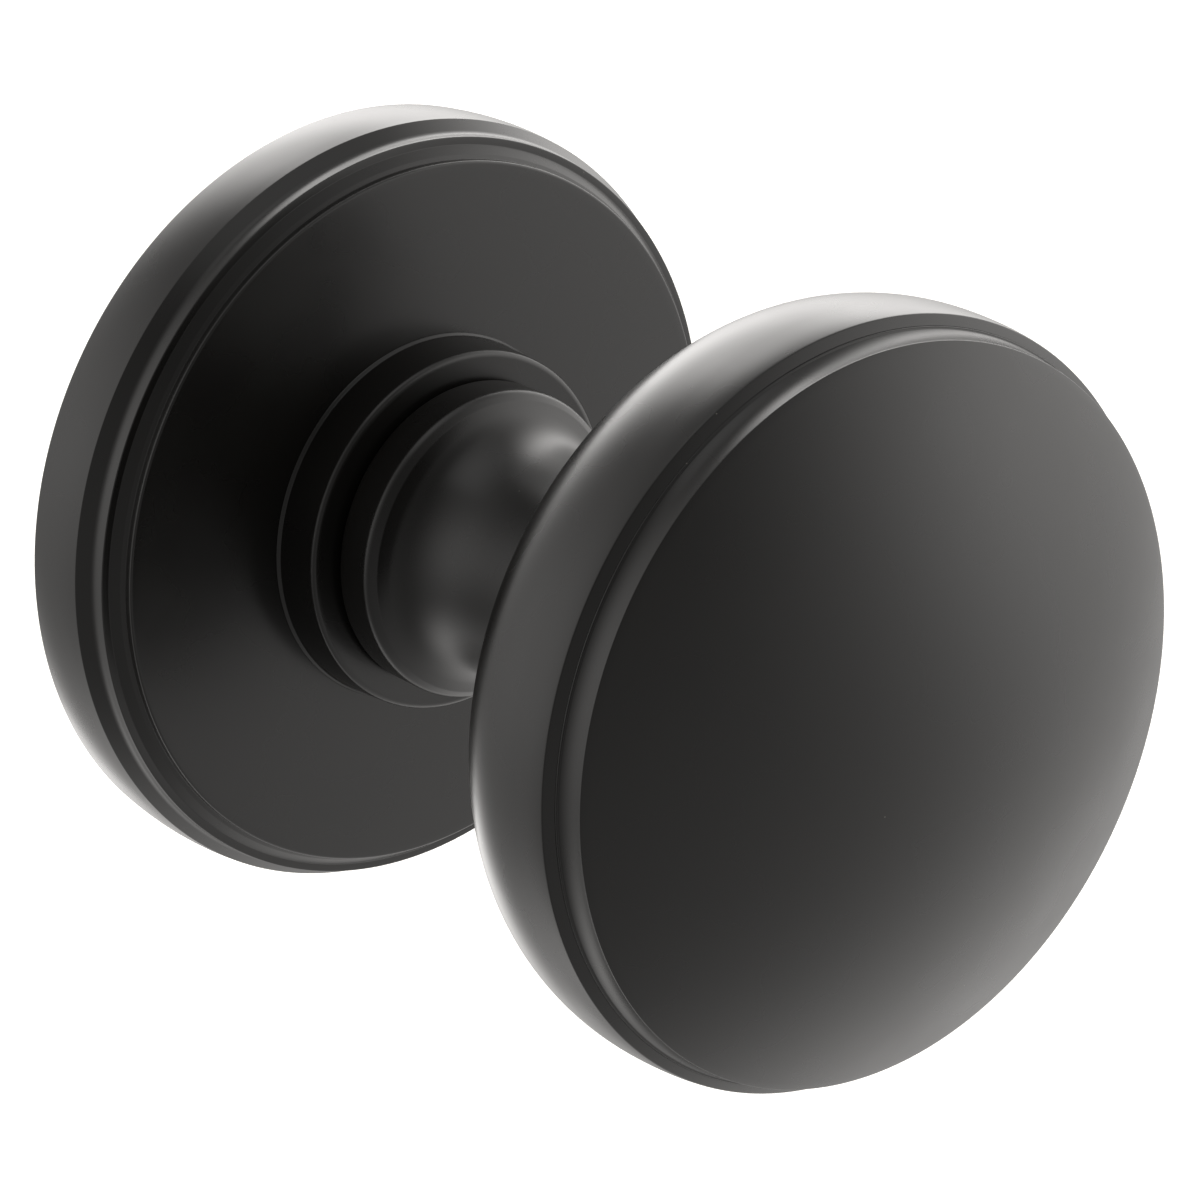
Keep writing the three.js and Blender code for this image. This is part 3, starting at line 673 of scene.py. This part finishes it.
def makeMountingPlate():
    outerR, front = nodeRadius("mounting_plate"), nodeFront("mounting_plate")
    holeR, edge = plate["bossHoleR"], plate["edge"]
    corners = [(holeR, 0, edge), (outerR, 0, edge), (outerR, front, 0.4), (holeR, front, 0.4)]
    piece = turnedPiece("mounting_plate_pressed", corners, "zinc_steel", sides=192)
    # each cutter runs from below the plate to well past its front
    low, high = -2, 6
    holes = [roundBar(plate["screwHoleR"], low, high, *around(plate["screwCircleR"], a)) for a in screwAngles]
    holes += [roundBar(plate["rivetHoleR"], low, high, *around(plate["rivetCircleR"], a)) for a in clipAngles]
    for side in (-1, 1):
        z = side * plate["postSpacing"] / 2
        holes.append(roundBar(plate["postHoleR"], low, high, 0, z, 64))
        holes.append(roundBar(plate["postSeatR"], plate["postSeatOut"], high, 0, z, 64))
        holes.append(roundBar(plate["woodScrewHoleR"], low, high, side * plate["woodScrewR"], 0, 56))
    carve(piece, "DIFFERENCE", holes)
    softenEdges(piece, 0.08)
    shadeByAngle(dressed(piece, "zinc_steel"), 20)
    handOver(piece, "rose", "zinc_steel", "mounting_plate")


def makeBoltPosts():
    front, back = nodeFront("bolt_post_upper"), nodeBack("bolt_post_upper")
    post = {"r": 3, "headR": 4.2, "headBack": 1, "neckR": 2.75, "neckLength": 1.2, "taper": 0.4, "boreR": 1.62,
            "boreDepth": 10, "mouthR": 1.97, "mouth": 0.4, "drillPoint": 1}
    neckEnd, boreEnd = back + post["neckLength"], back + post["boreDepth"]
    corners = [
        (0, front, 0), (post["headR"], front, 0.3), (post["headR"], post["headBack"], 0.15),
        (post["r"], post["headBack"], 0.1), (post["r"], neckEnd + post["taper"], 0.1),
        (post["neckR"], neckEnd, 0.1), (post["neckR"], back, 0.3), (post["mouthR"], back, 0.1),
        (post["boreR"], back + post["mouth"], 0.05), (post["boreR"], boreEnd, 0.1),
        (0, boreEnd + post["drillPoint"], 0),
    ]
    piece = turnedPiece("bolt_posts_turned", corners, "zinc_steel", closed=False, sides=64)
    thread = {"r": 2.0, "pitch": 0.7, "depth": 0.36}
    carve(piece, "DIFFERENCE", [threadedBar(thread, back + 0.25, boreEnd - 0.5)])
    copyAround(piece, "zinc_steel", 2, plate["postSpacing"] / 2, 90)
    shadeByAngle(piece)
    handOver(piece, "rose", "zinc_steel", "bolt_post_upper", "bolt_post_lower")


def makeCassetteScrews():
    top = nodeFront("cassette_screw_1")
    tip = nodeBack("cassette_screw_1")
    screw = {"headR": 2.6, "headHeight": 1.6, "crown": 0.6, "slotLength": 1.5, "slotWidth": 0.38,
             "slotDepth": 0.9}
    thread = {"r": 1.5, "pitch": 0.5, "depth": 0.24}
    seat = top - screw["headHeight"]
    head = [(0, seat, 0), (screw["headR"], seat, 0.15), (screw["headR"], top - screw["crown"], 0.5)]
    crown = bezier((screw["headR"] - 0.4, top - 0.3), (1.8, top - 0.05), (0.9, top), (0, top), 8)
    head += smooth(crown)
    piece = turnedPiece("cassette_screws_cut", head, "zinc_steel", closed=False, sides=64)
    carve(piece, "UNION", [threadedBar(thread, tip, seat + 0.3)])
    length, width = screw["slotLength"], screw["slotWidth"]
    cross = [
        [(-length, -width), (length, -width), (length, width), (-length, width)],
        [(-width, -length), (width, -length), (width, length), (-width, length)],
    ]
    carve(piece, "DIFFERENCE", [prism(arm, top - screw["slotDepth"], top + 1) for arm in cross])
    copyAround(piece, "zinc_steel", 3, plate["screwCircleR"], screwAngles[0])
    shadeByAngle(piece)
    handOver(piece, "rose", "zinc_steel", *[f"cassette_screw_{i}" for i in (1, 2, 3)])


def makeClipRivets():
    top, tail = nodeFront("clip_rivet_1"), nodeBack("clip_rivet_1")
    rivet = {"r": 1.1, "headR": 1.8, "headHeight": 0.9, "dimpleR": 0.7, "dimple": 0.3}
    seat = top - rivet["headHeight"]
    corners = [(0, tail + rivet["dimple"], 0), (rivet["dimpleR"], tail, 0.1), (rivet["r"], tail, 0.15),
               (rivet["r"], seat, 0.05), (rivet["headR"], seat, 0.1)]
    dome = bezier((rivet["headR"], seat), (rivet["headR"], top - 0.25), (1.0, top), (0, top), 10)
    corners += smooth(dome)
    piece = turnedPiece("clip_rivets_headed", corners, "zinc_steel", closed=False, sides=48)
    copyAround(piece, "zinc_steel", 3, plate["rivetCircleR"], clipAngles[0])
    shadeByAngle(piece)
    handOver(piece, "rose", "zinc_steel", *[f"clip_rivet_{i}" for i in (1, 2, 3)])


def makeRoseClips():
    # leaf clips: a strip bent up from its riveted foot, with a bulge that the rose snaps over
    clip = {"width": 8, "thickness": 0.6, "holeR": 1.4, "footR": 24, "bendR": 29.9, "bend": 1.4,
            "bulgeR": 30.7, "bulgeOut": 4.9, "bulge": 0.5, "tipR": 29.8, "tipOut": 6.1}
    base = nodeFront("mounting_plate")
    footOut = base + clip["thickness"] / 2
    bends = [(clip["footR"], footOut, 0), (clip["bendR"], footOut, clip["bend"]),
             (clip["bulgeR"], clip["bulgeOut"], clip["bulge"]), (clip["tipR"], clip["tipOut"], 0)]
    path = roundedOutline(bends, closed=False, arcSteps=8)
    half = clip["width"] / 2
    # across the strip, and how far its end corners are drawn in at each place
    widths = [(-half, 0.75), (-half + 0.35, 0.35), (-half + 0.9, 0), (half - 0.9, 0), (half - 0.35, 0.35),
              (half, 0.75)]
    ends = {0: (path[1] - path[0]).normalized(), len(path) - 1: (path[-2] - path[-1]).normalized()}
    points, faces = [], []
    for i, p in enumerate(path):
        for z, inset in widths:
            at = p + ends[i] * inset if i in ends else p
            points.append((at.x * mm, -at.y * mm, z * mm))
    row = len(widths)
    for i in range(len(path) - 1):
        for k in range(row - 1):
            faces.append((i * row + k, i * row + k + 1, (i + 1) * row + k + 1, (i + 1) * row + k))
    piece = newPiece("rose_clips_bent", joinedMesh("rose_clips_bent", [(points, faces)]))
    solid = piece.modifiers.new("thickness", "SOLIDIFY")
    solid.thickness, solid.offset = clip["thickness"] * mm, 0
    plainMesh(piece)
    carve(piece, "DIFFERENCE", [roundBar(clip["holeR"], base - 1, base + 2, plate["rivetCircleR"])])
    softenEdges(piece, 0.06)
    copyAround(dressed(piece, "spring_steel"), "spring_steel", 3, 0, clipAngles[0])
    shadeByAngle(piece, 20)
    handOver(piece, "rose", "spring_steel", *[f"rose_clip_{i}" for i in (1, 2, 3)])


def makePlainRings():
    runningGap, coverHoleR = 0.3, 7.6
    # name, node, inner radius, rounding, slot, body
    rings = (
        ("collar_bush_moulded", "collar_bush", neck["journalR"] + runningGap, 0.35, "nylon", "rose"),
        ("cassette_cover_pressed", "cassette_cover", coverHoleR, 0.15, "zinc_steel", "rose"),
        ("thrust_washer_moulded", "thrust_washer", neck["boreR"], 0.15, "nylon", "knob"),
        ("backing_washer_turned", "backing_washer", neck["boreR"], 0.3, "zinc_steel", "knob"),
    )
    for name, node, innerR, rounding, slot, body in rings:
        outerR, back, front = nodeRadius(node), nodeBack(node), nodeFront(node)
        corners = [(innerR, back, rounding), (outerR, back, rounding), (outerR, front, rounding),
                   (innerR, front, rounding)]
        handOver(turnedPiece(name, corners, slot, sides=128), body, slot, node)


def makeShankSleeve():
    front, back = nodeFront("shank_sleeve"), nodeBack("shank_sleeve")
    sleeve = {"r": 7, "headR": 9.5, "headBack": 50.8, "grooveR": 6.5, "grooveOut": (1.4, 2.3), "square": 8.6}
    r, headR, headBack, grooveR = sleeve["r"], sleeve["headR"], sleeve["headBack"], sleeve["grooveR"]
    low, high = sleeve["grooveOut"]
    corners = [(0, back, 0), (r, back, 0.3), (r, low, 0.06), (grooveR, low, 0.06), (grooveR, high, 0.06),
               (r, high, 0.06), (r, headBack, 0.2), (headR, headBack, 0.2), (headR, front, 0.3), (0, front, 0)]
    piece = turnedPiece("shank_sleeve_turned", corners, "zinc_steel", closed=False, sides=128)
    half = sleeve["square"] / 2
    square = prism([(-half, -half), (half, -half), (half, half), (-half, half)], back - 5, front + 5)
    carve(piece, "DIFFERENCE", [square, setScrewBore()])
    shadeByAngle(dressed(piece, "zinc_steel"))
    handOver(piece, "knob", "zinc_steel", "shank_sleeve")


setScrew = {"out": 17.7, "holeR": 2.8, "holeInnerR": 3.7, "holeEndR": 17, "pitch": 0.8, "depth": 0.35,
            "socketR": 1.45, "socketDepth": 2.5}


def setScrewBore():
    # the radial hole in the underside that takes the set screw
    bar = laidAlongZ(roundBar(setScrew["holeR"], setScrew["holeInnerR"], setScrew["holeEndR"], sides=64))
    return moved(bar, (0, -setScrew["out"], 0))


def makeSetScrew():
    low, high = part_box("set_screw")
    outerR, innerR = -low.z / mm, -high.z / mm
    thread = {"r": high.x / mm, "pitch": setScrew["pitch"], "depth": setScrew["depth"]}
    bar = moved(laidAlongZ(threadedBar(thread, innerR, outerR)), (0, -setScrew["out"], 0))
    piece = newPiece("set_screw_threaded", joinedMesh("set_screw_threaded", [bar]))
    socket = laidAlongZ(prism(regular(setScrew["socketR"], 6), outerR - setScrew["socketDepth"], outerR + 1))
    carve(piece, "DIFFERENCE", [moved(socket, (0, -setScrew["out"], 0))])
    shadeByAngle(dressed(piece, "black_oxide"), 50)
    handOver(piece, "knob", "black_oxide", "set_screw")


def makeSpindle():
    half = nodeRadius("spindle")
    front, back = nodeFront("spindle"), nodeBack("spindle")
    bar = {"corner": 0.7, "endChamfer": 0.6}
    flat, chamfer = half - bar["corner"], bar["endChamfer"]
    section = [(half, -flat), (half, flat), (flat, half), (-flat, half), (-half, flat), (-half, -flat),
               (-flat, -half), (flat, -half)]
    shrink = 1 - chamfer / half
    stations = ((back, shrink), (back + chamfer, 1), (front - chamfer, 1), (front, shrink))
    points = [(x * scale * mm, -out * mm, z * scale * mm) for out, scale in stations for x, z in section]
    count = len(section)
    faces = [tuple(range(count)), tuple(range(4 * count - 1, 3 * count - 1, -1))]
    for k in range(3):
        for i in range(count):
            j = (i + 1) % count
            faces.append((k * count + i, (k + 1) * count + i, (k + 1) * count + j, k * count + j))
    piece = newPiece("spindle_drawn", joinedMesh("spindle_drawn", [(points, faces)]))
    softenEdges(dressed(piece, "zinc_steel"), 0.12, 3, 20)
    shadeByAngle(piece, 12)
    handOver(piece, "knob", "zinc_steel", "spindle")


def makeRetainingRing():
    # an open ring with rounded ends, sprung into the sleeve's groove
    ringShape = {"innerR": 6.7, "outerR": 9.4, "openHalfAngle": 32, "steps": 72}
    front, back = nodeFront("retaining_ring"), nodeBack("retaining_ring")
    start, sweep = 270 + ringShape["openHalfAngle"], 360 - 2 * ringShape["openHalfAngle"]
    steps = ringShape["steps"]
    middleR = (ringShape["innerR"] + ringShape["outerR"]) / 2
    halfWidth = (ringShape["outerR"] - ringShape["innerR"]) / 2
    outer = [around(ringShape["outerR"], start + sweep * i / steps) for i in range(steps + 1)]
    inner = [around(ringShape["innerR"], start + sweep * i / steps) for i in range(steps, -1, -1)]
    piece = newPiece("retaining_ring_stamped",
                     joinedMesh("retaining_ring_stamped", [prism(outer + inner, back, front)]))
    tips = [around(middleR, start + sweep * i) for i in (0, 1)]
    carve(piece, "UNION", [roundBar(halfWidth, back, front, *tip) for tip in tips])
    softenEdges(dressed(piece, "spring_steel"), 0.06)
    shadeByAngle(piece, 20)
    handOver(piece, "knob", "spring_steel", "retaining_ring")


def makeWireTree():
    # runs a round wire along a smooth curve through the given points
    tree, given, sockets = newTree("wire", {"Wire Radius": "Float", "Sides": "Int", "Steps": "Int",
                                            "Material": "Material"})
    path = addNode(tree, "GeometryNodeMeshToCurve", None, {"Mesh": given.outputs["Geometry"]})
    bent = addNode(tree, "GeometryNodeCurveSplineType", {"spline_type": "CATMULL_ROM"},
                   {"Curve": path.outputs[0]})
    fine = addNode(tree, "GeometryNodeSetSplineResolution", None,
                   {0: bent.outputs[0], "Resolution": given.outputs["Steps"]})
    section = addNode(tree, "GeometryNodeCurvePrimitiveCircle", None,
                      {"Resolution": given.outputs["Sides"], "Radius": given.outputs["Wire Radius"]})
    wire = addNode(tree, "GeometryNodeCurveToMesh", {"Fill Caps": True},
                   {"Curve": fine.outputs[0], "Profile Curve": section.outputs[0]})
    endTree(tree, given, wire.outputs[0])
    return tree, sockets


def makeReturnSpring():
    # in along one leg, round the coil, and out along the other
    spring = {"wireR": 0.42, "coilR": 11.4, "bendR": 13.6, "legR": 16.4, "legAngle": 16, "startOut": 4.7,
              "pitch": 0.88, "turns": 2, "stepsPerTurn": 16}
    turns = spring["turns"] - 2 * spring["legAngle"] / 360
    endOut = spring["startOut"] + spring["pitch"] * turns
    route = [(spring["legR"], 90 + spring["legAngle"], spring["startOut"]),
             (spring["bendR"], 90 + spring["legAngle"], spring["startOut"])]
    steps = round(spring["stepsPerTurn"] * turns)
    for i in range(steps + 1):
        share = i / steps
        route.append((spring["coilR"], 90 + spring["legAngle"] + 360 * turns * share,
                      spring["startOut"] + spring["pitch"] * turns * share))
    route += [(r, 90 - spring["legAngle"], endOut) for r in (spring["bendR"], spring["legR"])]
    points = [(around(r, a)[0] * mm, -out * mm, around(r, a)[1] * mm) for r, a, out in route]
    mesh = bpy.data.meshes.new("return_spring_wound")
    mesh.from_pydata(points, [(i, i + 1) for i in range(len(points) - 1)], [])
    piece = newPiece("return_spring_wound", mesh)
    applyTree(piece, makeWireTree(), {"Wire Radius": spring["wireR"] * mm, "Sides": 20, "Steps": 8,
                                      "Material": materials["spring_steel"]})
    plainMesh(piece)
    handOver(piece, "rose", "spring_steel", "return_spring")


def makeCastCam():
    # the CAD shape with the soft edges that a casting has
    cast = {"skin": 0.2, "softening": 0.5, "passes": 6}
    source = nodes["spring_cam"].data.copy()
    piece = newPiece("spring_cam_cast", source)
    work = bmesh.new()
    work.from_mesh(source)
    bmesh.ops.remove_doubles(work, verts=work.verts, dist=1e-6)
    work.to_mesh(source)
    work.free()
    remesh = piece.modifiers.new("cast skin", "REMESH")
    remesh.mode, remesh.voxel_size = "VOXEL", cast["skin"] * mm
    soft = piece.modifiers.new("soft edges", "SMOOTH")
    soft.factor, soft.iterations = cast["softening"], cast["passes"]
    plainMesh(piece)
    shadeByAngle(dressed(piece, "cast_brass"), 80)
    handOver(piece, "knob", "cast_brass", "spring_cam")


def makeCassetteHousing():
    # a deep-drawn cup with a flange, its spring tab and the two stops for the cam
    cup = {"r": 18.2, "innerR": 17, "flangeR": 23.6, "flangeOut": 3.3, "ceilingOut": 8.1, "holeR": 8,
           "tabInnerR": 14.9, "tabHalf": 12, "tabBack": 4.4, "stopInnerR": 13.4, "stopHalf": 6,
           "stopBack": 6.6, "stopAngle": 79, "buried": 0.6}
    front, back = nodeFront("cassette_housing"), nodeBack("cassette_housing")
    corners = [
        (cup["innerR"], back, 0.3), (cup["flangeR"], back, 0.15), (cup["flangeR"], cup["flangeOut"], 0.3),
        (cup["r"], cup["flangeOut"], 0.5), (cup["r"], front, 0.9), (cup["holeR"], front, 0.2),
        (cup["holeR"], cup["ceilingOut"], 0.1), (cup["innerR"], cup["ceilingOut"], 0.4),
    ]
    piece = turnedPiece("cassette_housing_drawn", corners, "zinc_steel", sides=160)

    def wedge(innerR, angle, halfAngle, low):
        spread = [angle - halfAngle + halfAngle * i / 4 for i in range(9)]
        outer = [around(cup["innerR"] + cup["buried"], a) for a in spread]
        inner = [around(innerR, a) for a in reversed(spread)]
        return prism(outer + inner, low, cup["ceilingOut"] + cup["buried"] / 2)

    wedges = [wedge(cup["tabInnerR"], 90, cup["tabHalf"], cup["tabBack"])]
    wedges += [wedge(cup["stopInnerR"], 270 + side * cup["stopAngle"], cup["stopHalf"], cup["stopBack"])
               for side in (-1, 1)]
    carve(piece, "UNION", wedges)
    carve(piece, "DIFFERENCE", [roundBar(plate["screwHoleR"], 0, 5, *around(plate["screwCircleR"], a))
                                for a in screwAngles])
    shadeByAngle(dressed(piece, "zinc_steel"))
    handOver(piece, "rose", "zinc_steel", "cassette_housing")


makeNeck()
makeKnobBack()
makeKnobFace()
print("knob made")

makeMountingPlate()
makeBoltPosts()
makeCassetteScrews()
makeClipRivets()
makeRoseClips()
makePlainRings()
makeShankSleeve()
makeSetScrew()
makeSpindle()
makeRetainingRing()
makeReturnSpring()
makeCastCam()
makeCassetteHousing()
print("hidden and rear pieces made")


# the CAD pieces that stay get their finish
slots = {row["node"]: row["material_slot"] for row in frame["record"]["subparts"]}
for name, node in nodes.items():
    for holder in node.material_slots:
        holder.material = materials[slots[name]]


def makeFloor():
    # pale paper, in metres across and below the knob's axis
    floor = {"size": 6.0, "drop": 0.24, "colour": "#f4f3f0", "cloud": "#efeeeb", "cloudMm": 40, "glow": 0.5}
    material, tree = newMaterial("pale_paper_floor")
    place = addNode(tree, "ShaderNodeTexCoord").outputs["Object"]
    tone = addNode(tree, "ShaderNodeTexNoise", {"Scale": scaleFor(floor["cloudMm"]), "Detail": 2},
                   {"Vector": place}).outputs[0]
    colour = addNode(tree, "ShaderNodeMix", {"data_type": "RGBA", 6: linear(floor["colour"]),
                                             7: linear(floor["cloud"])}, {0: tone}).outputs[2]
    finishMaterial(tree, {"Roughness": 0.9, "Specular IOR Level": 0.2, "Emission Strength": floor["glow"]},
                   {"Base Color": colour, "Emission Color": colour})
    half, level = floor["size"] / 2, -floor["drop"]
    mesh = bpy.data.meshes.new("floor")
    mesh.from_pydata([(-half, -half, level), (half, -half, level), (half, half, level), (-half, half, level)],
                     [], [(0, 1, 2, 3)])
    mesh.materials.append(material)
    piece = newPiece("floor", mesh)
    # the room's own glow stands in for the floor in reflections, so that it can be brighter at one side
    piece.visible_glossy = piece.visible_diffuse = piece.visible_shadow = False


def towards(azimuth, elevation):
    # azimuth 0 is in front of the knob (-Y), and grows towards +X
    a, e = math.radians(azimuth), math.radians(elevation)
    return Vector((math.sin(a) * math.cos(e), -math.cos(a) * math.cos(e), math.sin(e)))


# The room's soft lights: azimuth, elevation, brightness, and focus, which is higher for a smaller light.
studioGlow = {
    "front_right": (60, 15, 2.7, 5.5),
    "right_back": (120, 20, 4.2, 11),
    "back": (160, 12, 6.0, 20),
    "back_high": (160, 40, 5.8, 65),
    "rim": (134, 28, 2.4, 30),
    "left_back": (-130, 10, 1.8, 4),
    "overhead": (-100, 83, 0.8, 11),
    "floor_right": (90, -55, 1.6, 5),
    "floor_back": (166, -28, 4.2, 45),
    "floor_left_back": (-145, -57, 2.0, 15),
    "floor_front": (-5, -30, 0.6, 2),
}
reflectedTint, seenTint = "#e8e6e4", "#ffffff"  # a touch warm in reflections


def makeWorld():
    world = bpy.data.worlds.new("studio")
    world.use_nodes = True
    tree = world.node_tree
    tree.nodes.clear()
    looking = addNode(tree, "ShaderNodeTexCoord").outputs["Generated"]
    total = addNode(tree, "ShaderNodeValue").outputs[0]
    total.default_value = 0
    for azimuth, elevation, brightness, focus in studioGlow.values():
        aim = towards(azimuth, elevation)
        facing = addNode(tree, "ShaderNodeVectorMath", {"operation": "DOT_PRODUCT", 1: aim},
                         {0: looking}).outputs[1]
        spread = addNode(tree, "ShaderNodeMath", {"operation": "MULTIPLY_ADD", 1: focus, 2: -focus},
                         {0: facing}).outputs[0]
        fall = addNode(tree, "ShaderNodeMath", {"operation": "EXPONENT"}, {0: spread}).outputs[0]
        total = addNode(tree, "ShaderNodeMath", {"operation": "MULTIPLY_ADD", 1: brightness},
                        {0: fall, 2: total}).outputs[0]
    # seen directly, the room is plain white
    seen = addNode(tree, "ShaderNodeLightPath").outputs["Is Camera Ray"]
    strength = addNode(tree, "ShaderNodeMath", {"operation": "MAXIMUM"}, {0: total, 1: seen}).outputs[0]
    tint = addNode(tree, "ShaderNodeMix", {"data_type": "RGBA", 6: linear(reflectedTint),
                                           7: linear(seenTint)}, {0: seen}).outputs[2]
    background = addNode(tree, "ShaderNodeBackground", None, {"Color": tint, "Strength": strength})
    addNode(tree, "ShaderNodeOutputWorld", None, {"Surface": background.outputs[0]})
    bpy.context.scene.world = world


def makeOverhead():
    # a large soft panel straight above
    panel = {"size": 1.2, "distance": 1.3, "power": 1.2}
    middle = (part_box("knob_face_cap")[0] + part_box("rose_cover")[1]) / 2
    light = bpy.data.lights.new("overhead", "AREA")
    light.shape, light.size, light.energy = "SQUARE", panel["size"], panel["power"]
    lamp = bpy.data.objects.new("overhead", light)
    lamp.location = middle + Vector((0, 0, panel["distance"]))
    bpy.context.scene.collection.objects.link(lamp)


def makeCamera():
    view = {"azimuth": -40.13, "elevation": 22.2, "distance": 0.65109, "lens": 232.5, "right": 0.01752,
            "up": -0.00839}
    back = towards(view["azimuth"], view["elevation"])
    turn = back.to_track_quat("Z", "Y")
    rightWay, upWay = turn @ Vector((1, 0, 0)), turn @ Vector((0, 1, 0))
    roseCorner = Vector((0, -rose["cornerOut"] * mm, 0))
    camera = bpy.data.cameras.new("camera")
    camera.lens, camera.sensor_width, camera.clip_start = view["lens"], 36, 0.01
    holder = bpy.data.objects.new("camera", camera)
    holder.location = roseCorner + rightWay * view["right"] + upWay * view["up"] + back * view["distance"]
    holder.rotation_euler = turn.to_euler()
    bpy.context.scene.collection.objects.link(holder)
    bpy.context.scene.camera = holder


makeFloor()
makeWorld()
makeOverhead()
makeCamera()
bpy.context.scene.view_settings.view_transform = "Standard"
print("stage made")
